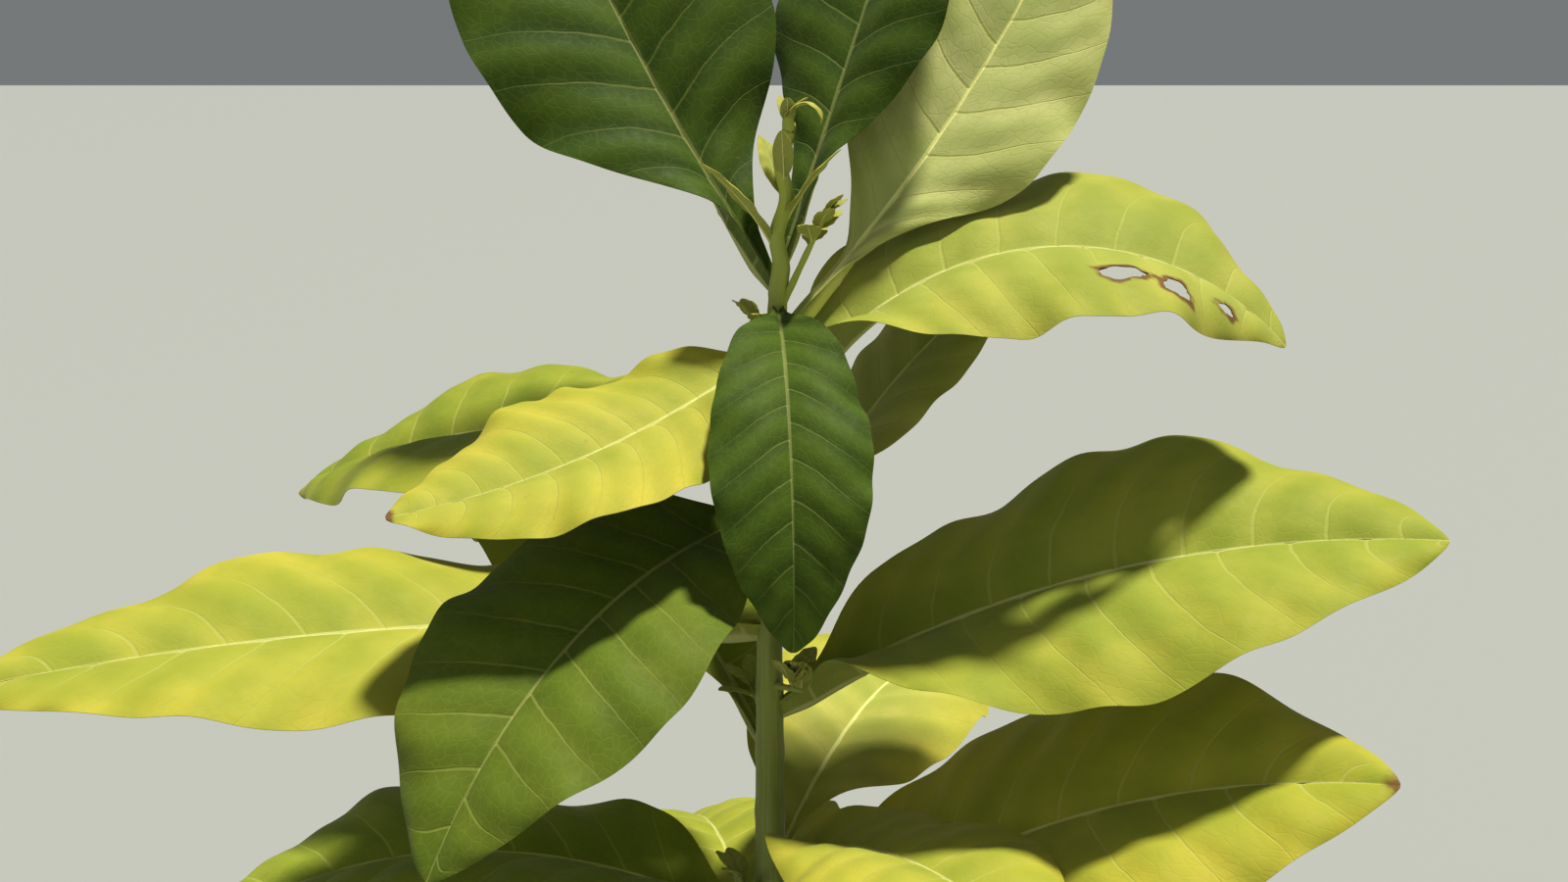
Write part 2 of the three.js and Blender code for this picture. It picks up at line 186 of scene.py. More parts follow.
# The young leaves on the slender tip, from the lowest up
YOUNG_COUNT = 5
YOUNG_LOWEST = 1094
YOUNG_HIGHEST = 1160
YOUNG_LONGEST = 92
YOUNG_SHORTEST = 34
YOUNG_AZIMUTH = 205
YOUNG_HALF_WIDTH_SHARE = 0.15
YOUNG_RISE = (58, 74)
YOUNG_DROOP = (34, 60)
YOUNG_YELLOW = 0.75
# Small leaves are paled: partly the own pale green of young leaves, partly painted light
YOUNG_PALENESS_AND_PAINTED_LIGHT = -0.65

# The side shoots: the big leaf in whose axil each one grows, its height above it and its posture
SHOOTS = [
    dict(leaf=13, above=4, turn=-46, rise=12, length=42, leaves=7, leaf_length=42, stand=30, wide=0.32),
    dict(leaf=20, above=20, turn=-46, rise=64, length=84, leaves=6, leaf_length=44),
    dict(leaf=19, above=29, turn=-44, rise=40, length=20, leaves=3, leaf_length=38),
    dict(leaf=12, above=14, turn=0, rise=50, length=36, leaves=4, leaf_length=46),
    dict(leaf=9, above=15, turn=8, rise=52, length=34, leaves=4, leaf_length=46),
]
SHOOT_RADIUS = 3.4
SHOOT_TAPER = 0.6
SHOOT_SPREAD = 95
SHOOT_LEAF_HALF_WIDTH_SHARE = 0.22
SHOOT_LEAF_BEND = 34
SHOOT_LEAF_RISE = (34, 66)
# Where along the shoot its leaves start, and how short the last one is
SHOOT_LEAVES_FROM = 0.66
SHOOT_LAST_LEAF_SHARE = 0.62
SHOOT_SIDES = 20
SKIN_TONE = (0.4, 0.8, 0.0)
STEM_TONE = (0, 0.5, 0)

# The bud at the tip and the small hooked leaves round it
BUD_RADIUS = 5
BUD_HEIGHT = 13
BUD_LEAVES = 3
BUD_LEAF_LENGTH = 30
BUD_SIDES = 24
BUD_SUNK = 4
BUD_LEAVES_ABOVE_FOOT = 3
HOOK_LENGTH = 50
HOOK_AZIMUTH = 350
TIP_GAP = 0.4

# Colours of the two faces of a leaf, each as the two ends of its uneven patches
# The deep green is a leaf's own deeper tone and painted shade; the pale green is painted light, and partly
# the own pale green of young leaves
TOP_TINTS = dict(
    green=((0.135, 0.220, 0.016), (0.200, 0.285, 0.024)),
    deep_and_painted_shade=((0.024, 0.052, 0.003), (0.042, 0.076, 0.005)),
    pale=((0.460, 0.520, 0.200), (0.560, 0.600, 0.270)),
    ripe=((0.390, 0.375, 0.034), (0.500, 0.430, 0.046)),
)
UNDER_TINTS = dict(
    green=((0.155, 0.215, 0.034), (0.205, 0.265, 0.050)),
    deep_and_painted_shade=((0.082, 0.122, 0.020), (0.112, 0.152, 0.030)),
    pale=((0.300, 0.360, 0.110), (0.380, 0.430, 0.150)),
    ripe=((0.310, 0.320, 0.055), (0.380, 0.370, 0.070)),
)
# The painted glow of the midrib on leaves paled with painted light
PAINTED_GLOW_MIDRIB = (0.80, 0.80, 0.30)

# The camera: the photograph's width and focal length in pixels, its place in metres and its dip
PHOTO_WIDTH_PX = 1600
FOCAL_PX = 1778
SENSOR_MM = 36
CAMERA_PLACE = (0.0256, -1.42, 1.25)
CAMERA_DIP = 12.7

# The light: strength, angle across, where it comes from and colour
KEY_SUN = dict(energy=5.3, across=6, towards=(0.20, 0.02, 1.0), colour=(1.0, 0.97, 0.86))
FILL_SUN = dict(energy=0.2, across=60, towards=(-0.5, -1.0, 0.5), colour=(0.96, 0.98, 0.94))
WORLD_COLOUR = (0.82, 0.86, 0.88, 1)
WORLD_STRENGTH = 0.22
FLOOR_COLOUR = (0.30, 0.31, 0.30, 1)
# In metres
FLOOR_HALF_SIDE = 60.0


def lerp(a, b, t):
    return a + (b - a) * t


def smoothstep(x, low, high):
    t = np.clip((np.asarray(x, float) - low) / (high - low), 0, 1)
    return t * t * (3 - 2 * t)


def seeded(a, b):
    """A repeatable number from 0 to 1 for each pair of whole numbers."""
    x = math.sin(a * 12.9898 + b * 78.233) * 43758.5453
    return x - math.floor(x)


def direction(azimuth, elevation):
    a, e = math.radians(azimuth), math.radians(elevation)
    return np.array([math.cos(e) * math.cos(a), math.cos(e) * math.sin(a), math.sin(e)])


def stem_middle(z):
    """The middle of the stem at one or more heights."""
    z = np.asarray(z, float)
    t = z / STEM_HEIGHT
    x = z * math.tan(math.radians(STEM_LEAN_DEG)) + STEM_SWAY * np.sin(2 * np.pi * t)
    y = STEM_SWAY * (np.cos(2 * np.pi * t) - 1) * 0.5
    reached = smoothstep(z, ZIGZAG_FROM, ZIGZAG_FULL_AT)
    zigzag = TIP_ZIGZAG * reached * np.sin(2 * np.pi * z / TIP_ZIGZAG_PITCH)
    return np.stack([x + zigzag, y, z], -1)


def stem_radius(z, leaf_heights=()):
    z = np.asarray(z, float)
    t = np.clip(z / STEM_HEIGHT, 0, 1)
    taper = lerp(STEM_FOOT_RADIUS, STEM_TOP_RADIUS, t**STEM_TAPER_POWER)
    swell = sum(np.exp(-(((z - h) / NODE_SWELL_REACH) ** 2)) for h in leaf_heights)
    return taper + FLARE * np.exp(-z / FLARE_HEIGHT) + NODE_SWELL * np.minimum(1, swell)


def leaf_foot(z, azimuth):
    return stem_middle(z) + direction(azimuth, 0) * float(stem_radius(z) - EMBEDDED)


def leaf_heights_on_stem():
    gaps = []
    for i in range(LEAF_COUNT - 1):
        t = i / (LEAF_COUNT - 2)
        gaps.append(lerp(GAP_LOW, GAP_HIGH, t) + GAP_BULGE * math.sin(math.pi * t))
    scale = (HIGHEST_LEAF - LOWEST_LEAF) / sum(gaps)
    heights = [LOWEST_LEAF]
    for gap in gaps:
        heights.append(heights[-1] + gap * scale)
    return heights


def big_leaf(n, height):
    """The posture and size of big leaf number n, which is 1 for the lowest."""
    h = (n - 1) / (LEAF_COUNT - 1)
    own = POSTURES.get(n, {})
    if h < LONGEST_AT:
        share = 1 - (1 - LOW_LEAF_SHARE) * (1 - h / LONGEST_AT) ** 2
    else:
        share = 1 - (1 - TOP_LEAF_SHARE) * ((h - LONGEST_AT) / (1 - LONGEST_AT)) ** 2
    length = LONGEST_LEAF * share * own.get("size", 1)
    turn = own.get("turn", TURN_SCATTER * (seeded(n, 1) - 0.5))
    azimuth = TOP_AZIMUTH + DIVERGENCE * (LEAF_COUNT - n) + turn
    scattered = (YELLOW_LEAST + YELLOW_SCATTER * seeded(n, 8), SHADE_SCATTER * seeded(n, 9))
    yellow, depth_and_painted_light = TONES.get(n, scattered)
    rise = lerp(RISE_LOW, RISE_HIGH, h**1.2) + RISE_SCATTER * (seeded(n, 2) - 0.5)
    droop = lerp(DROOP_LOW, DROOP_HIGH, h**3) + DROOP_SCATTER * (seeded(n, 3) - 0.5)
    leaf = dict(
        name=f"leaf_{n:02d}",
        seed=n,
        foot=leaf_foot(height + own.get("up", 0), azimuth),
        azimuth=azimuth,
        rise=own.get("rise", rise),
        droop=own.get("droop", droop),
        roll=own.get("roll", ROLL_SCATTER * (seeded(n, 4) - 0.5)),
        sweep=own.get("sweep", SWEEP_SCATTER * (seeded(n, 5) - 0.5)),
        length=length,
        half_width=length * HALF_WIDTH_SHARE * own.get("width", 1),
        clasp=CLASP_SHARE * float(stem_radius(height)),
        starts=own.get("starts", 0),
        opens=own.get("opens", 0.2),
        least=BIG_LEAST_HALF_WIDTH,
        small=False,
        holes=HOLES if n == HOLED_LEAF else [],
        yellow=yellow,
        depth_and_painted_light=depth_and_painted_light,
    )
    sink_foot(leaf)
    return leaf


def small_leaf(foot, azimuth, rise, droop, length, half_width, seed):
    return dict(
        seed=seed,
        foot=foot,
        azimuth=azimuth,
        rise=rise,
        droop=droop,
        roll=0,
        sweep=0,
        length=length,
        half_width=half_width,
        clasp=0,
        starts=0,
        opens=0.2,
        least=SMALL_LEAST_HALF_WIDTH,
        buried=0,
        grip=1,
        small=True,
        holes=[],
        yellow=YOUNG_YELLOW,
        depth_and_painted_light=YOUNG_PALENESS_AND_PAINTED_LIGHT,
    )


def half_width_at(leaf, s):
    """Half the leaf's width at shares s of its length."""
    opened = smoothstep(s, leaf["starts"], leaf["opens"])
    blade = np.maximum(0, np.sin(np.pi * s**1.14)) ** 0.8 * opened
    neck = 0.07 * (1 - s) ** 2
    wing = leaf["clasp"] * np.exp(-((s * leaf["length"] / WING_LENGTH) ** 2))
    return leaf["half_width"] * (blade + neck) + wing + leaf["least"]


def sink_foot(leaf):
    """Runs a leaf's foot on into the stem and narrows it there, so that its cut end doesn't show."""
    radius = float(stem_radius(leaf["foot"][2]))
    deepest = BURIED_DEPTH_SHARE * radius / math.cos(math.radians(leaf["rise"]))
    leaf["buried"] = min(LONGEST_BURIED, deepest)
    across = half_width_at(leaf, 0.0) * math.cos(math.radians(FOLD_AT_FOOT))
    leaf["grip"] = min(1, GRIP_SHARE * radius / across)


def midrib(leaf):
    """The midrib as arrays of place, side and up at equal steps, walked along the leaf."""
    s = np.arange(WALK_STEPS + 1) / WALK_STEPS
    elevation = np.radians(lerp(leaf["rise"], leaf["droop"], s**1.15))
    azimuth = np.radians(leaf["azimuth"] + leaf["sweep"] * s * s)
    flat = np.cos(elevation)
    along = np.stack([flat * np.cos(azimuth), flat * np.sin(azimuth), np.sin(elevation)], -1)
    steps = along * leaf["length"] / WALK_STEPS
    place = leaf["foot"] + np.vstack([np.zeros(3), np.cumsum(steps, 0)[:-1]])
    side = np.stack([-np.sin(azimuth), np.cos(azimuth), np.zeros_like(s)], -1)
    up = np.cross(along, side)
    roll = np.radians(leaf["roll"] * smoothstep(s, 0.02, 0.4))[:, None]
    rolled_side = side * np.cos(roll) + up * np.sin(roll)
    rolled_up = up * np.cos(roll) - side * np.sin(roll)
    return s, place, rolled_side, rolled_up


def on_midrib(stations, s):
    """Place, side and up at any shares s of the leaf's length."""
    known = stations[0]
    parts = []
    for values in stations[1:]:
        parts.append(np.stack([np.interp(s, known, values[:, k]) for k in range(3)], -1))
    for k in (1, 2):
        parts[k] /= np.linalg.norm(parts[k], axis=-1, keepdims=True)
    return parts


def blade_points(leaf, stations, s, way, u):
    """Points in the middle of the blade and the directions out of its face."""
    place, side, up = on_midrib(stations, s)
    width = half_width_at(leaf, s)
    fold = np.radians(lerp(FOLD_AT_FOOT, FOLD_LATER, smoothstep(s, 0.02, 0.3)))
    curl = np.radians(lerp(CURL_AT_FOOT, CURL_LATER, smoothstep(s, 0.05, 0.4)))
    across = (width / curl) * (np.sin(fold) - np.sin(fold - curl * u))
    lift = (width / curl) * (np.cos(fold - curl * u) - np.cos(fold))
    phase = np.where(way > 0, seeded(leaf["seed"], 6), seeded(leaf["seed"], 7))
    calm = smoothstep(s, 0.08, 0.25) * (1 - smoothstep(s, 0.85, 1))
    slow = np.sin(2 * np.pi * (2.2 * s + phase))
    quick = np.sin(2 * np.pi * (5.3 * s + 3 * phase))
    wave = leaf["half_width"] * calm * u * u * (0.06 * slow + 0.03 * quick)
    angle = (fold - curl * u)[..., None]
    point = place + side * (way * across)[..., None] + up * (lift + wave)[..., None]
    out = up * np.cos(angle) - side * way[..., None] * np.sin(angle)
    return point, out, up, width


class Shape:
    """Points and faces of one piece, with what its materials read."""

    def __init__(self):
        self.points = []
        self.faces = []
        self.kinds = []
        self.sheets = []
        self.veins = []
        self.tones = []
        self.burns = []
        self.corners = []
        self.count = 0

    def add(self, points, faces, kinds, sheets, veins, tones, burns, corners):
        self.points.append(points)
        self.faces.append(faces + self.count)
        self.kinds.append(kinds)
        self.sheets.append(sheets)
        self.veins.append(veins)
        self.tones.append(tones)
        self.burns.append(burns)
        self.corners.append(corners)
        self.count += len(points)


def fine_relief(leaf, c, v, s, width):
    """How far the blade stands out between its lateral veins.

    Also gives each point's row among the veins and how far it is from the nearest one.
    """
    u = np.abs(v)
    pairs = 5 if leaf["small"] else 11
    offset = np.where(v > 0, 0.5, 0.0)
    row = pairs * c**0.9 + offset + 0.18 * np.sin(3.1 * u + leaf["seed"])
    share = row - np.floor(row)
    apart = 0.5 - np.abs(share - 0.5)
    calm = smoothstep(c, 0.03, 0.16) * (1 - smoothstep(c, 0.9, 1))
    body = calm * np.sin(np.pi * np.clip(u, 0, 1)) ** 0.7
    puff = PUCKER_SHARE * leaf["half_width"] * body * np.sin(np.pi * share) ** 2
    near_vein = np.exp(-((apart / 0.06) ** 2))
    groove = -GROOVE_SHARE * leaf["half_width"] * calm * (1 - u) * near_vein
    mm_along = s * leaf["length"]
    mm_across = v * width
    phase = leaf["seed"] * 1.7
    buckle = np.sin(mm_along / 17 + phase) * np.sin(mm_across / 13 + 2.2 * phase)
    finer = np.sin(mm_along / 7.3 - phase + mm_across / 11) * np.sin(mm_across / 6.1 + phase)
    buckle += 0.6 * finer
    scale = 0.25 if leaf["small"] else 1.0
    return puff + groove + BUCKLE * scale * body * buckle, row, apart


def cut_hole(leaf, stations, hole, point, kept, burn):
    """Drops the cells inside a hole and moves the points at its rim onto a slightly ragged oval."""
    at = np.array([hole["s"]])
    centre = blade_points(leaf, stations, at, np.array([-1.0]), np.array([hole["u"]]))[0][0]
    _, side, up = on_midrib(stations, at)
    along = np.cross(side, up)[0]
    along /= np.linalg.norm(along)
    turn = math.radians(hole["turn"])
    long_way = along * math.cos(turn) + side[0] * math.sin(turn)
    wide_way = side[0] * math.cos(turn) - along * math.sin(turn)
    away = point - centre
    x = away @ long_way
    y = away @ wide_way
    angle = np.arctan2(y / hole["wide"], x / hole["long"])
    ragged = 1 + 0.10 * np.sin(3 * angle + hole["turn"]) + 0.07 * np.sin(7 * angle + 2)
    reach = np.sqrt((x / hole["long"]) ** 2 + (y / hole["wide"]) ** 2) / ragged
    inside = (reach[:-1, :-1] + reach[1:, 1:] + reach[1:, :-1] + reach[:-1, 1:]) / 4 < 1
    close = np.linalg.norm(away, axis=-1) < 3 * hole["long"]
    inside &= close[:-1, :-1]
    touches = np.zeros(reach.shape, int)
    for di in (0, 1):
        for dj in (0, 1):
            rows, columns = inside.shape
            touches[di : di + rows, dj : dj + columns] += inside
    at_rim = (touches > 0) & (touches < 4)
    grow = np.where(at_rim, 1 / np.maximum(reach, 0.3) - 1, 0)
    shift = (x * grow)[..., None] * long_way + (y * grow)[..., None] * wide_way
    near = np.exp(-((np.maximum(reach - 1, 0) * hole["wide"] / 3.5) ** 2)) * close
    return kept & ~inside, np.maximum(burn, near), shift


def add_leaf(shape, leaf, rows, blade_columns):
    """Adds one closed leaf: a top sheet, an under sheet with keel and veins, and a rim between."""
    stations = midrib(leaf)
    c = np.linspace(0, 1, rows)[:, None] ** 0.94
    k = np.arange(1, RIB_COLUMNS + 1) / RIB_COLUMNS
    b = np.arange(1, blade_columns + 1) / blade_columns
    rib_at_c = leaf["length"] * 0.012 * (1.1 - c) / half_width_at(leaf, c)
    rib = np.minimum(0.45, rib_at_c)
    half_row = np.concatenate([rib * k, rib + (1 - rib) * b ** 0.95], 1)
    v = np.concatenate([-half_row[:, ::-1], np.zeros((rows, 1)), half_row], 1)
    columns = v.shape[1]
    u = np.abs(v)
    way = np.where(v < 0, -1.0, 1.0)
    s = np.clip(c + VEIN_SKEW * c * (1 - c) * u**1.25, 0, 1)
    point, out, up, width = blade_points(leaf, stations, s, way, u)
    free = smoothstep(c, 0, BURIED_SHARE)
    place = on_midrib(stations, s)[0]
    held = lerp(leaf["grip"], 1, free)
    inward = direction(leaf["azimuth"], leaf["rise"]) * -leaf["buried"]
    point = place + (point - place) * held[..., None] + inward * (1 - free)[..., None]
    stand, row, apart = fine_relief(leaf, c, v, s, width)
    point = point + out * stand[..., None]
    if not leaf["small"]:
        calm = smoothstep(c, 0.06, 0.2) * (1 - smoothstep(c, 0.93, 1))
        beat = 2 * np.pi * (leaf["seed"] * 0.37 + 0.3 * way)
        ruffle = RUFFLE * calm * u**5 * np.sin(44 * s + beat) * np.sin(17 * s + 2 * beat)
        point = point + out * ruffle[..., None]

    thin = lerp(BLADE_HALF_THICKNESS, MARGIN_HALF_THICKNESS, u**2)
    if leaf["small"]:
        thin = thin * SMALL_LEAF_THINNER
    half = np.minimum(thin, 0.15 + 0.3 * width)[..., None]
    inside = np.clip(1 - (u / np.maximum(rib, 1e-6)) ** 2, 0, 1) ** 0.7
    keel = leaf["length"] * KEEL_SHARE * (1 - s) ** 1.2 * inside * held
    ridge_width = 0.045 + 0.02 * (1 - u)
    calm = smoothstep(c, 0.02, 0.12) * (1 - smoothstep(c, 0.93, 1))
    on_vein = np.exp(-((apart / ridge_width) ** 2))
    ridge = VEIN_RIDGE_SHARE * leaf["length"] * calm * (1 - u) ** 0.9 * on_vein * (1 - inside)
    top = point + out * half + up * (0.06 * keel)[..., None]
    under = point - out * half - up * keel[..., None] - out * ridge[..., None]

    kept = np.ones((rows - 1, columns - 1), bool)
    # The very tip of a ripe leaf is browned
    at_tip = smoothstep(c, 0.965, 1.0) * np.ones_like(v)
    burn = 0.8 * smoothstep(leaf["yellow"], 0.3, 1.0) * at_tip
    for hole in leaf["holes"]:
        kept, burn, shift = cut_hole(leaf, stations, hole, point, kept, burn)
        top = top + shift
        under = under + shift

    count = rows * columns
    number = np.arange(count).reshape(rows, columns)
    cell = np.stack([number[:-1, :-1], number[:-1, 1:], number[1:, 1:], number[1:, :-1]], -1)
    cell_kept = cell[kept]
    top_faces = cell_kept[:, ::-1]
    under_faces = cell_kept + count
    # Rim quads stand on each edge that belongs to one kept cell only
    edges = np.concatenate([cell_kept[:, [i, (i + 1) % 4]] for i in range(4)])
    key = np.sort(edges, 1)
    _, first, times = np.unique(key, axis=0, return_index=True, return_counts=True)
    lone = edges[first[times == 1]]
    rim_faces = np.stack([lone[:, 0], lone[:, 1], lone[:, 1] + count, lone[:, 0] + count], -1)

    faces = np.concatenate([top_faces, under_faces, rim_faces])
    kinds = np.concatenate([
        np.zeros(len(top_faces), int),
        np.ones(len(under_faces), int),
        np.zeros(len(rim_faces), int),
    ])
    sheets = np.concatenate([np.zeros(count, int), np.ones(count, int)])
    mm_across = v * width
    like_full_leaf = mm_across * (LONGEST_LEAF / leaf["length"]) ** 0.8
    veins = np.stack([row, v, like_full_leaf], -1).reshape(-1, 3)
    # The tone holds the place along the leaf, its ripeness and its painted shade and light
    tones = np.stack([
        np.broadcast_to(c, v.shape),
        np.full(v.shape, leaf["yellow"]),
        np.full(v.shape, leaf["depth_and_painted_light"]),
    ], -1).reshape(-1, 3)

    # The map for baking: the top sheet below, the under sheet above, both in their true proportions
    flat = np.stack([0.02 + 0.96 * s, 0.25 + 0.96 * mm_across / leaf["length"]], -1).reshape(-1, 2)
    flat_under = flat + [0, 0.5]
    both = np.concatenate([flat, flat_under])
    corners = both[faces]
    middle_of_leaf = np.array([0.5, 0.25])
    rim_corners = flat[rim_faces % count]
    push = rim_corners[:, 2:] - middle_of_leaf
    push /= np.linalg.norm(push, axis=-1, keepdims=True) + 1e-9
    rim_corners[:, 2:] += 0.004 * push
    corners[len(top_faces) + len(under_faces):] = rim_corners
    shape.add(
        np.concatenate([top.reshape(-1, 3), under.reshape(-1, 3)]),
        faces,
        kinds,
        sheets,
        np.concatenate([veins, veins]),
        np.concatenate([tones, tones]),
        np.concatenate([burn.ravel(), burn.ravel()]),
        corners,
    )


def add_tube(shape, points, radii, sides, kind, tone):
    """Adds a closed tube along points, with a flat end at each end. kind is its material's number."""
    rows = len(points)
    angles = np.arange(sides) * 2 * np.pi / sides
    along = np.gradient(points, axis=0)
    along /= np.linalg.norm(along, axis=1, keepdims=True)
    across = np.cross(along, [0.0, 1.0, 0.0])
    across /= np.linalg.norm(across, axis=1, keepdims=True)
    third = np.cross(along, across)
    ring = (
        across[:, None] * np.cos(angles)[None, :, None]
        + third[:, None] * np.sin(angles)[None, :, None]
    )
    radii = np.asarray(radii, float)
    if radii.ndim == 1:
        radii = radii[:, None]
    surface = points[:, None] + ring * radii[..., None]
    body = surface.reshape(-1, 3)
    count = rows * sides
    i = np.arange(rows - 1)[:, None] * sides
    j = np.arange(sides)[None, :]
    j_next = (j + 1) % sides
    faces = np.stack([i + j, i + j_next, i + sides + j_next, i + sides + j], -1).reshape(-1, 4)
    ends = np.array([count, count + 1])
    around = np.arange(sides)
    after = (around + 1) % sides
    first = np.stack([np.full(sides, ends[0]), after, around, around], -1)
    top = (rows - 1) * sides
    last = np.stack([np.full(sides, ends[1]), top + around, top + after, top + after], -1)
    all_faces = np.concatenate([faces, first, last])
    places = np.concatenate([body, points[:1], points[-1:]])
    run = np.concatenate([[0], np.cumsum(np.linalg.norm(np.diff(points, axis=0), axis=1))])
    veins = np.zeros((len(places), 3))
    veins[:count, 0] = np.repeat(run, sides)
    veins[:count, 1] = np.tile(np.cos(angles), rows)
    veins[:count, 2] = np.tile(np.sin(angles), rows)
    veins[count + 1, 0] = run[-1]
    tones = np.tile(np.array(tone, float), (len(places), 1))
    kinds = np.full(len(all_faces), kind)
    sheets = np.zeros(len(places), int)
    corners = np.zeros((len(all_faces), 4, 2))
    shape.add(places, all_faces, kinds, sheets, veins, tones, np.zeros(len(places)), corners)


def make_piece(name, shape, materials, node, own_map):
    """Turns a shape into a Blender object that replaces a node."""
    points = np.concatenate(shape.points) * MM
    faces = np.concatenate(shape.faces)
    kinds = np.concatenate(shape.kinds)
    corners = np.concatenate(shape.corners)
    triangle = faces[:, 2] == faces[:, 3]
    sizes = np.where(triangle, 3, 4)
    starts = np.concatenate([[0], np.cumsum(sizes)[:-1]])
    keep = np.ones(faces.shape, bool)
    keep[triangle, 3] = False
    loops = faces[keep]
    loop_places = corners[keep]
    mesh = bpy.data.meshes.new(name)
    mesh.vertices.add(len(points))
    mesh.vertices.foreach_set("co", points.ravel())
    mesh.loops.add(len(loops))
    mesh.loops.foreach_set("vertex_index", loops.astype(np.int32))
    mesh.polygons.add(len(faces))
    mesh.polygons.foreach_set("loop_start", starts.astype(np.int32))
    mesh.polygons.foreach_set("material_index", kinds.astype(np.int32))
    mesh.update(calc_edges=True)
    mesh.validate()
    mesh.polygons.foreach_set("use_smooth", np.ones(len(mesh.polygons), bool))
    veins = mesh.attributes.new("leaf_place", "FLOAT_VECTOR", "POINT")
    veins.data.foreach_set("vector", np.concatenate(shape.veins).astype(np.float32).ravel())
    tones = mesh.attributes.new("leaf_tone", "FLOAT_VECTOR", "POINT")
    tones.data.foreach_set("vector", np.concatenate(shape.tones).astype(np.float32).ravel())
    burns = mesh.attributes.new("leaf_burn", "FLOAT", "POINT")
    burns.data.foreach_set("value", np.concatenate(shape.burns).astype(np.float32))
    if own_map:
        layer = mesh.uv_layers.new(name="OFBake")
        layer.uv.foreach_set("vector", loop_places.astype(np.float32).ravel())
    # The rim keeps its own shading: the edges where it meets a sheet are sharp
    sheets = np.concatenate(shape.sheets)
    ends = np.zeros(len(mesh.edges) * 2, np.int32)
    mesh.edges.foreach_get("vertices", ends)
    ends = ends.reshape(-1, 2)
    on_rim = np.zeros(len(points), bool)
    crossing = sheets[faces].min(1) != sheets[faces].max(1)
    on_rim[faces[crossing].ravel()] = True
    sharp = on_rim[ends].all(1) & (sheets[ends[:, 0]] == sheets[ends[:, 1]])
    mark = mesh.attributes.new("sharp_edge", "BOOLEAN", "EDGE")
    mark.data.foreach_set("value", sharp)
    for material in materials:
        mesh.materials.append(material)
    piece = bpy.data.objects.new(name, mesh)
    bpy.context.scene.collection.objects.link(piece)
    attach(piece, "root")
    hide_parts(node)


class Nodes:
    """Short words for building a material's nodes."""

    def __init__(self, name):
        self.material = bpy.data.materials.new(name)
        self.material.use_nodes = True
        self.tree = self.material.node_tree
        self.shader = self.tree.nodes["Principled BSDF"]

    def link(self, value, socket):
        if hasattr(value, "is_output"):
            self.tree.links.new(value, socket)
        else:
            socket.default_value = value

    def math(self, operation, a, b=0.0, clamp=False):
        node = self.tree.nodes.new("ShaderNodeMath")
        node.operation = operation
        node.use_clamp = clamp
        self.link(a, node.inputs[0])
        self.link(b, node.inputs[1])
        return node.outputs[0]

    def attribute(self, name):
        node = self.tree.nodes.new("ShaderNodeAttribute")
        node.attribute_name = name
        split = self.tree.nodes.new("ShaderNodeSeparateXYZ")
        self.tree.links.new(node.outputs["Vector"], split.inputs[0])
        return split.outputs[0], split.outputs[1], split.outputs[2]

    def object_place(self):
        return self.tree.nodes.new("ShaderNodeTexCoord").outputs["Object"]

    def combine(self, x, y, z=0.0):
        node = self.tree.nodes.new("ShaderNodeCombineXYZ")
        self.link(x, node.inputs[0])
        self.link(y, node.inputs[1])
        self.link(z, node.inputs[2])
        return node.outputs[0]

    def noise(self, place, scale, detail=3.0, roughness=0.55):
        node = self.tree.nodes.new("ShaderNodeTexNoise")
        self.tree.links.new(place, node.inputs["Vector"])
        node.inputs["Scale"].default_value = scale
        node.inputs["Detail"].default_value = detail
        node.inputs["Roughness"].default_value = roughness
        return node.outputs["Fac"]

    def cells(self, place, scale):
        node = self.tree.nodes.new("ShaderNodeTexVoronoi")
        node.feature = "DISTANCE_TO_EDGE"
        self.tree.links.new(place, node.inputs["Vector"])
        node.inputs["Scale"].default_value = scale
        return node.outputs["Distance"]

    def ramp(self, value, low, high, out_low=0.0, out_high=1.0):
        node = self.tree.nodes.new("ShaderNodeMapRange")
        node.interpolation_type = "SMOOTHSTEP"
        self.link(value, node.inputs["Value"])
        self.link(low, node.inputs["From Min"])
        self.link(high, node.inputs["From Max"])
        node.inputs["To Min"].default_value = out_low
        node.inputs["To Max"].default_value = out_high
        return node.outputs["Result"]

    def mix(self, share, a, b):
        node = self.tree.nodes.new("ShaderNodeMix")
        node.data_type = "RGBA"
        self.link(share, node.inputs["Factor"])
        for value, socket in ((a, node.inputs[6]), (b, node.inputs[7])):
            self.link(value if hasattr(value, "is_output") else (*value, 1.0), socket)
        return node.outputs[2]

    def bump(self, height, distance, strength):
        node = self.tree.nodes.new("ShaderNodeBump")
        node.inputs["Strength"].default_value = strength
        node.inputs["Distance"].default_value = distance
        self.tree.links.new(height, node.inputs["Height"])
        return node.outputs["Normal"]


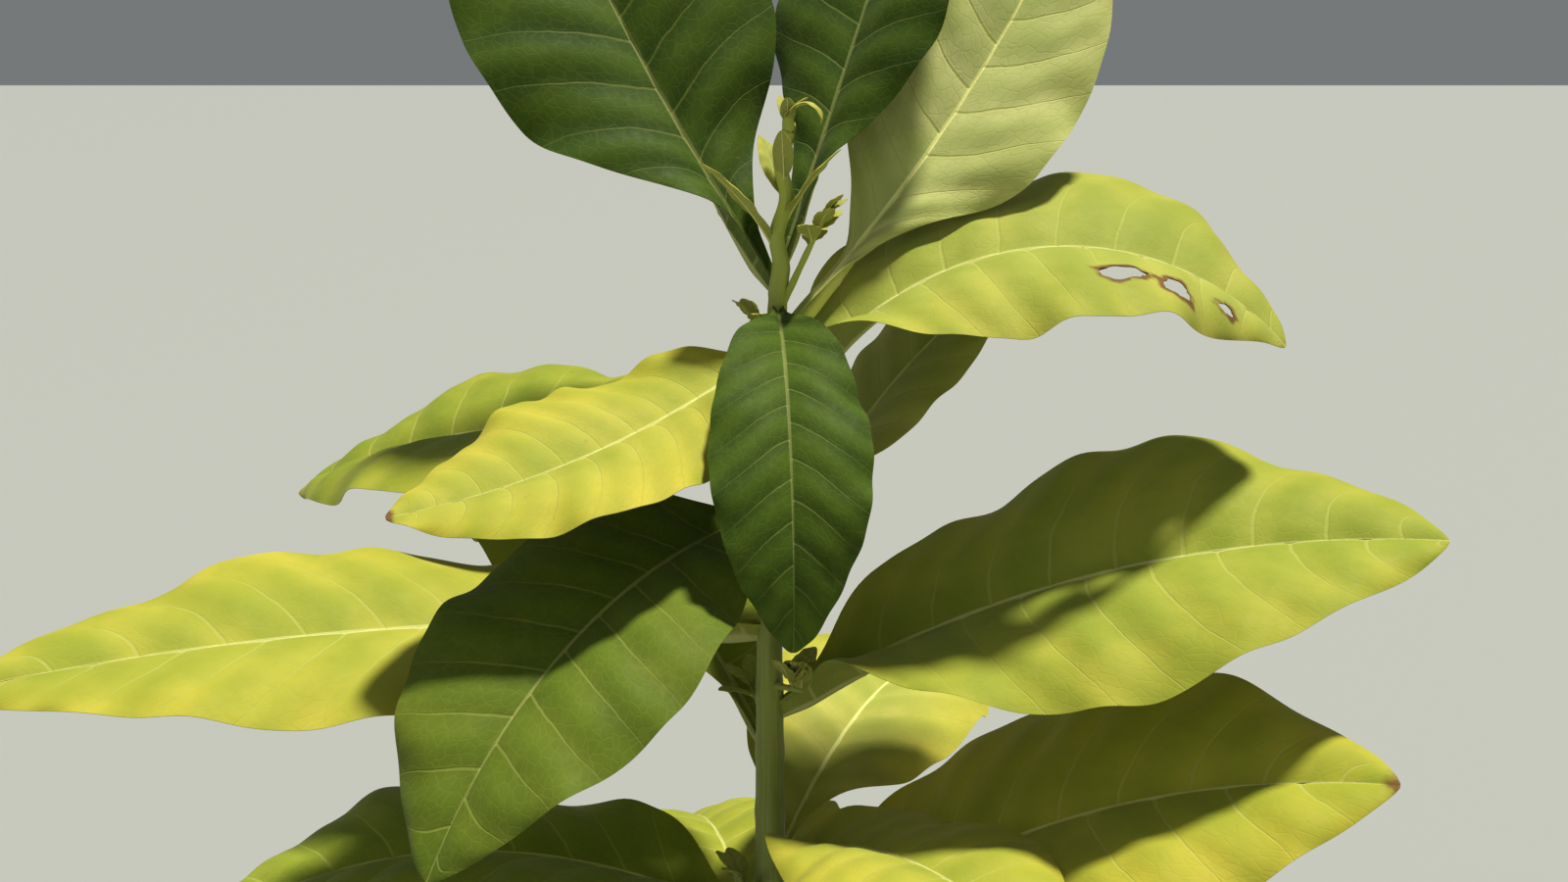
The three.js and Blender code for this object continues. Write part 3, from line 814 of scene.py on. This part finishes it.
def vein_masks(n, lateral_start, lateral_end):
    """Masks of the midrib, the lateral veins and the fine net between them."""
    row, v, mm = n.attribute("leaf_place")
    # The third part of the tone darkens a leaf with painted shade above 0 and pales it with painted light
    # below 0
    c, yellow, depth_and_painted_light = n.attribute("leaf_tone")
    u = n.math("ABSOLUTE", v)
    off_rib = n.math("ABSOLUTE", mm)
    rib = n.math("MULTIPLY_ADD", c, -3.1)
    rib.node.inputs[2].default_value = 4.0
    midrib_mask = n.ramp(n.math("SUBTRACT", rib, off_rib), -0.3, 0.9)
    place = n.object_place()
    wander = n.math("MULTIPLY_ADD", n.noise(place, 22.0, 2.0), 0.16)
    wander.node.inputs[2].default_value = -0.08
    bent = n.math("ADD", row, wander)
    apart = n.math("PINGPONG", bent, 0.5)
    half = n.ramp(u, 0.0, 1.0, lateral_start, lateral_end)
    lateral = n.ramp(n.math("SUBTRACT", half, apart), -0.012, 0.016)
    net_place = n.combine(n.math("MULTIPLY", bent, 5.0), n.math("MULTIPLY", mm, 0.105), yellow)
    net = n.ramp(n.cells(net_place, 1.0), 0.0, 0.11, 1.0, 0.0)
    burn = n.tree.nodes.new("ShaderNodeAttribute")
    burn.attribute_name = "leaf_burn"
    ragged = n.math("MULTIPLY", burn.outputs["Fac"], n.ramp(n.noise(place, 60.0), 0.3, 0.6, 0.5, 1.3))
    return dict(
        u=u,
        yellow=yellow,
        depth_and_painted_light=depth_and_painted_light,
        place=place,
        burn=ragged,
        midrib=midrib_mask,
        lateral=lateral,
        net=net,
        apart=apart,
    )


def leaf_green(n, m, patches, tints):
    """The green of a leaf in uneven patches, made deeper by its own tone and by painted shade, and paler by
    painted light.
    """
    green = n.mix(patches, *tints["green"])
    green = n.mix(m["depth_and_painted_light"], green, n.mix(patches, *tints["deep_and_painted_shade"]))
    return n.mix(n.math("MULTIPLY", m["depth_and_painted_light"], -1.0), green, n.mix(patches, *tints["pale"]))


def draw_veins(n, m, colour, net_share, lateral_share, midrib_share, tints):
    """Lays the net, the lateral veins and the midrib over a leaf's colour."""
    net_tint, lateral_tint, midrib_tint = tints
    colour = n.mix(n.math("MULTIPLY", m["net"], net_share), colour, net_tint)
    colour = n.mix(n.math("MULTIPLY", m["lateral"], lateral_share), colour, lateral_tint)
    colour = n.mix(n.math("MULTIPLY", m["midrib"], midrib_share), colour, midrib_tint)
    # A painted glow: the midrib of a leaf paled with painted light is brightened further, as if lit from
    # behind
    painted_midrib_glow = n.math("MULTIPLY", m["midrib"], n.math("MULTIPLY", m["depth_and_painted_light"], -1.0))
    return n.mix(painted_midrib_glow, colour, PAINTED_GLOW_MIDRIB)


def leaf_top():
    n = Nodes("leaf upper face")
    m = vein_masks(n, 0.03, 0.008)
    patches = n.ramp(n.noise(m["place"], 14.0, 4.0), 0.35, 0.68)
    fine = n.noise(m["place"], 170.0, 3.0)
    green = leaf_green(n, m, patches, TOP_TINTS)
    ripe = n.mix(patches, *TOP_TINTS["ripe"])
    spread = n.math("MULTIPLY_ADD", n.ramp(m["u"], 0.2, 1.0), 0.35)
    spread.node.inputs[2].default_value = 0.68
    ripeness = n.math("MULTIPLY", m["yellow"], spread, clamp=True)
    colour = n.mix(ripeness, green, ripe)
    between = n.ramp(m["apart"], 0.05, 0.45)
    colour = n.mix(n.math("MULTIPLY", between, 0.20), colour, (0.13, 0.21, 0.014))
    # Veins show less on the leaves darkened with painted shade
    veined = n.ramp(m["depth_and_painted_light"], 1.0, 0.2, 0.3, 1.0)
    net, lateral, midrib_share = (n.math("MULTIPLY", veined, share) for share in (0.16, 0.50, 0.85))
    tints = ((0.30, 0.36, 0.05), (0.42, 0.44, 0.10), (0.56, 0.56, 0.20))
    colour = draw_veins(n, m, colour, net, lateral, midrib_share, tints)
    speck = n.ramp(n.noise(m["place"], 95.0, 2.0, 0.6), 0.72, 0.79)
    colour = n.mix(n.math("MULTIPLY", speck, 0.3), colour, (0.20, 0.15, 0.03))
    colour = n.mix(n.ramp(m["burn"], 0.15, 0.75), colour, (0.16, 0.085, 0.022))
    n.link(colour, n.shader.inputs["Base Color"])
    rough = n.ramp(fine, 0.2, 0.8, 0.56, 0.72)
    n.link(rough, n.shader.inputs["Roughness"])
    n.shader.inputs["Sheen Weight"].default_value = 0.04
    n.shader.inputs["Sheen Roughness"].default_value = 0.5
    n.shader.inputs["Specular IOR Level"].default_value = 0.1
    sunken = n.math("ADD", n.math("MULTIPLY", m["lateral"], -0.9), n.math("MULTIPLY", m["net"], -0.25))
    height = n.math("ADD", sunken, n.math("MULTIPLY", fine, 0.35))
    n.link(n.bump(height, 0.0006, 0.6), n.shader.inputs["Normal"])
    return n.material


def leaf_under():
    n = Nodes("leaf under face")
    m = vein_masks(n, 0.045, 0.012)
    patches = n.ramp(n.noise(m["place"], 16.0, 4.0), 0.35, 0.68)
    fine = n.noise(m["place"], 200.0, 3.0)
    green = leaf_green(n, m, patches, UNDER_TINTS)
    ripe = n.mix(patches, *UNDER_TINTS["ripe"])
    colour = n.mix(n.math("MULTIPLY", m["yellow"], 0.75), green, ripe)
    # Veins show less on the leaves darkened with painted shade
    veined = n.ramp(m["depth_and_painted_light"], 1.0, 0.2, 0.4, 1.0)
    net, lateral = (n.math("MULTIPLY", veined, share) for share in (0.26, 0.70))
    tints = ((0.32, 0.37, 0.11), (0.44, 0.46, 0.17), (0.50, 0.51, 0.22))
    colour = draw_veins(n, m, colour, net, lateral, 0.85, tints)
    colour = n.mix(n.ramp(m["burn"], 0.15, 0.75), colour, (0.17, 0.10, 0.035))
    n.link(colour, n.shader.inputs["Base Color"])
    rough = n.ramp(fine, 0.2, 0.8, 0.60, 0.76)
    n.link(rough, n.shader.inputs["Roughness"])
    n.shader.inputs["Sheen Weight"].default_value = 0.06
    n.shader.inputs["Specular IOR Level"].default_value = 0.14
    raised = n.math("ADD", n.math("MULTIPLY", m["lateral"], 0.8), n.math("MULTIPLY", m["net"], 0.4))
    height = n.math("ADD", raised, n.math("MULTIPLY", fine, 0.3))
    n.link(n.bump(height, 0.0006, 0.7), n.shader.inputs["Normal"])
    return n.material


def stem_skin(name, yellow_green):
    """The skin of the stem or of a shoot: ribbed, downy, paler towards the tip, brown at the foot."""
    n = Nodes(name)
    _, cos_a, sin_a = n.attribute("leaf_place")
    place = n.object_place()
    split = n.tree.nodes.new("ShaderNodeSeparateXYZ")
    n.tree.links.new(place, split.inputs[0])
    z = split.outputs[2]
    streak_place = n.combine(
        n.math("MULTIPLY", cos_a, 7.0), n.math("MULTIPLY", sin_a, 7.0), n.math("MULTIPLY", z, 9.0)
    )
    streaks = n.noise(streak_place, 1.0, 4.0)
    fine = n.noise(place, 420.0, 3.0)
    patches = n.noise(place, 28.0, 4.0)
    low = (0.16, 0.20, 0.035)
    high = (0.36, 0.42, 0.055) if yellow_green else (0.27, 0.33, 0.05)
    colour = n.mix(n.ramp(z, 0.05, 1.0), low, high)
    colour = n.mix(n.ramp(streaks, 0.35, 0.7, 0.0, 0.5), colour, (0.42, 0.45, 0.13))
    colour = n.mix(n.ramp(patches, 0.5, 0.8, 0.0, 0.3), colour, (0.12, 0.15, 0.02))
    # Paler yellow-green towards the tip: partly the young tip's own colour, partly painted light
    colour = n.mix(n.ramp(z, 1.0, 1.12, 0.0, 0.75), colour, (0.40, 0.47, 0.06))
    corky = n.math("MULTIPLY", n.ramp(z, 0.22, 0.0), n.ramp(patches, 0.35, 0.6))
    colour = n.mix(corky, colour, (0.17, 0.12, 0.05))
    n.link(colour, n.shader.inputs["Base Color"])
    n.link(n.ramp(fine, 0.2, 0.8, 0.5, 0.68), n.shader.inputs["Roughness"])
    n.shader.inputs["Sheen Weight"].default_value = 0.12
    height = n.math("ADD", n.math("MULTIPLY", streaks, 0.8), n.math("MULTIPLY", fine, 0.3))
    n.link(n.bump(height, 0.0012, 0.7), n.shader.inputs["Normal"])
    return n.material


top_material = leaf_top()
under_material = leaf_under()
stem_material = stem_skin("stem skin", False)
shoot_material = stem_skin("shoot skin", True)
LEAF_SKINS = [top_material, under_material]
SHOOT_SKINS = [top_material, under_material, shoot_material]
SKIN_KIND = 2

heights = leaf_heights_on_stem()
leaves = [big_leaf(i + 1, height) for i, height in enumerate(heights)]
for leaf in leaves:
    shape = Shape()
    add_leaf(shape, leaf, ROWS, BLADE_COLUMNS)
    make_piece(leaf["name"] + "_fine", shape, LEAF_SKINS, leaf["name"], True)


def young_leaves():
    for i in range(YOUNG_COUNT):
        t = i / (YOUNG_COUNT - 1)
        azimuth = YOUNG_AZIMUTH + DIVERGENCE * i
        foot = leaf_foot(lerp(YOUNG_LOWEST, YOUNG_HIGHEST, t), azimuth)
        length = lerp(YOUNG_LONGEST, YOUNG_SHORTEST, t)
        rise, droop = lerp(*YOUNG_RISE, t), lerp(*YOUNG_DROOP, t)
        half_width = length * YOUNG_HALF_WIDTH_SHARE
        leaf = small_leaf(foot, azimuth, rise, droop, length, half_width, 70 + i)
        sink_foot(leaf)
        shape = Shape()
        add_leaf(shape, leaf, YOUNG_ROWS, SMALL_BLADE_COLUMNS)
        name = f"young_leaf_{i + 1}"
        make_piece(name + "_fine", shape, LEAF_SKINS, name, True)


def side_shoots():
    for index, shoot in enumerate(SHOOTS):
        height = heights[shoot["leaf"] - 1] + shoot["above"]
        azimuth = big_leaf(shoot["leaf"], height)["azimuth"] + shoot["turn"]
        start = stem_middle(height)
        reach = float(stem_radius(height)) + shoot["length"]
        end = start + direction(azimuth, shoot["rise"]) * reach
        shape = Shape()
        t = np.linspace(0, 1, 26)
        bar = start + (end - start) * t[:, None]
        radii = SHOOT_RADIUS * lerp(1.0, SHOOT_TAPER, t) * (1 + 0.05 * np.sin(23 * t))
        add_tube(shape, bar, radii, SHOOT_SIDES, SKIN_KIND, SKIN_TONE)
        for i in range(shoot["leaves"]):
            t = (i + 0.5) / shoot["leaves"]
            foot = start + (end - start) * lerp(SHOOT_LEAVES_FROM, 1, t)
            way = 1 if i % 2 == 0 else -1
            turn = azimuth + way * SHOOT_SPREAD * (1 - i / shoot["leaves"])
            length = shoot["leaf_length"] * lerp(1, SHOOT_LAST_LEAF_SHARE, t)
            rise = lerp(*SHOOT_LEAF_RISE, t) + shoot.get("stand", 0)
            half_width = length * shoot.get("wide", SHOOT_LEAF_HALF_WIDTH_SHARE)
            seed = 40 + index * 9 + i
            droop = rise - SHOOT_LEAF_BEND
            leaf = small_leaf(foot, turn, rise, droop, length, half_width, seed)
            add_leaf(shape, leaf, SHOOT_LEAF_ROWS, SMALL_BLADE_COLUMNS)
        name = f"side_shoot_{index + 1}"
        make_piece(name + "_fine", shape, SHOOT_SKINS, name, False)


def tip_bud():
    foot = stem_middle(STEM_HEIGHT)
    foot[2] += TIP_GAP
    shape = Shape()
    t = np.linspace(0, 1, 24)
    above = t * (BUD_HEIGHT + BUD_SUNK)
    middle = foot + np.array([0, 0, 1.0]) * above[:, None]
    off_centre = (above - BUD_SUNK) / BUD_HEIGHT
    radii = BUD_RADIUS * np.sqrt(np.clip(1 - off_centre**2, 0.0004, 1))
    add_tube(shape, middle, radii, BUD_SIDES, SKIN_KIND, SKIN_TONE)
    place = foot + np.array([0, 0, BUD_LEAVES_ABOVE_FOOT])
    for i in range(BUD_LEAVES):
        length = BUD_LEAF_LENGTH * (1 - 0.08 * i)
        azimuth = YOUNG_AZIMUTH + DIVERGENCE * (i + 1)
        leaf = small_leaf(place, azimuth, 84, 20 + 16 * i, length, length * 0.2, 90 + i)
        add_leaf(shape, leaf, BUD_LEAF_ROWS, SMALL_BLADE_COLUMNS)
    hook = small_leaf(place, HOOK_AZIMUTH, 98, -108, HOOK_LENGTH, HOOK_LENGTH * 0.18, 95)
    add_leaf(shape, hook, HOOK_ROWS, SMALL_BLADE_COLUMNS)
    make_piece("tip_bud_fine", shape, SHOOT_SKINS, "tip_bud", False)


def stem_piece():
    """The stem with a rib running down for each leaf, a collar at its top and fine ribs all round."""
    z = np.linspace(0, STEM_HEIGHT, STEM_ROWS)
    middle = stem_middle(z)
    angle = np.arange(STEM_SIDES) * 2 * np.pi / STEM_SIDES
    radius = np.tile(stem_radius(z, heights)[:, None], (1, STEM_SIDES))
    # A tube's rings start at -X and turn as azimuths do, so the ribs lie mirrored front to back
    # from their leaves
    mirrored_azimuth = np.pi - angle
    for leaf in leaves:
        foot = leaf["foot"][2]
        a = math.radians(leaf["azimuth"])
        apart = np.abs((mirrored_azimuth - a + np.pi) % (2 * np.pi) - np.pi)[None, :]
        below = (foot - z)[:, None]
        run = np.exp(-np.clip(below, 0, None) / RIB_FADES_OVER) * (below > -RIB_STARTS_ABOVE)
        radius += RIB_HEIGHT * run * np.exp(-((apart / RIB_HALF_ANGLE) ** 2))
        level = np.exp(-(((below - COLLAR_BELOW) / COLLAR_DEPTH) ** 2))
        collar = level * np.exp(-((apart / COLLAR_HALF_ANGLE) ** 2))
        radius += COLLAR_HEIGHT * collar
    fine_ribs = FINE_RIB_HEIGHT * np.sin(FINE_RIBS * angle)
    radius += fine_ribs[None, :] * smoothstep(z, 20, 160)[:, None]
    shape = Shape()
    add_tube(shape, middle, radius, STEM_SIDES, 0, STEM_TONE)
    # The foot is cut flat at the ground
    shape.points[-1][:, 2] = np.maximum(shape.points[-1][:, 2], 0)
    make_piece("stem_fine", shape, [stem_material], "stem", False)


young_leaves()
side_shoots()
tip_bud()
stem_piece()


def floor():
    mesh = bpy.data.meshes.new("floor")
    far = FLOOR_HALF_SIDE
    corners = [(-far, -far, 0), (far, -far, 0), (far, far, 0), (-far, far, 0)]
    mesh.from_pydata(corners, [], [(0, 1, 2, 3)])
    plane = bpy.data.objects.new("floor", mesh)
    bpy.context.scene.collection.objects.link(plane)
    material = bpy.data.materials.new("pale floor")
    material.use_nodes = True
    shader = material.node_tree.nodes["Principled BSDF"]
    shader.inputs["Base Color"].default_value = FLOOR_COLOUR
    shader.inputs["Roughness"].default_value = 0.8
    mesh.materials.append(material)


def sun(name, energy, across, towards, colour):
    light = bpy.data.lights.new(name, "SUN")
    light.energy = energy
    light.angle = math.radians(across)
    light.color = colour
    lamp = bpy.data.objects.new(name, light)
    lamp.rotation_euler = (-Vector(towards)).to_track_quat("-Z", "Y").to_euler()
    bpy.context.scene.collection.objects.link(lamp)


def studio():
    world = bpy.data.worlds.new("studio")
    bpy.context.scene.world = world
    world.use_nodes = True
    background = world.node_tree.nodes["Background"]
    background.inputs["Color"].default_value = WORLD_COLOUR
    background.inputs["Strength"].default_value = WORLD_STRENGTH
    bpy.context.scene.view_settings.view_transform = "Standard"
    sun("key", **KEY_SUN)
    sun("fill", **FILL_SUN)


def camera():
    data = bpy.data.cameras.new("camera")
    data.sensor_width = SENSOR_MM
    data.lens = FOCAL_PX / PHOTO_WIDTH_PX * SENSOR_MM
    holder = bpy.data.objects.new("camera", data)
    holder.location = CAMERA_PLACE
    holder.rotation_euler = (math.radians(90 - CAMERA_DIP), 0, 0)
    bpy.context.scene.collection.objects.link(holder)
    bpy.context.scene.camera = holder


floor()
studio()
camera()
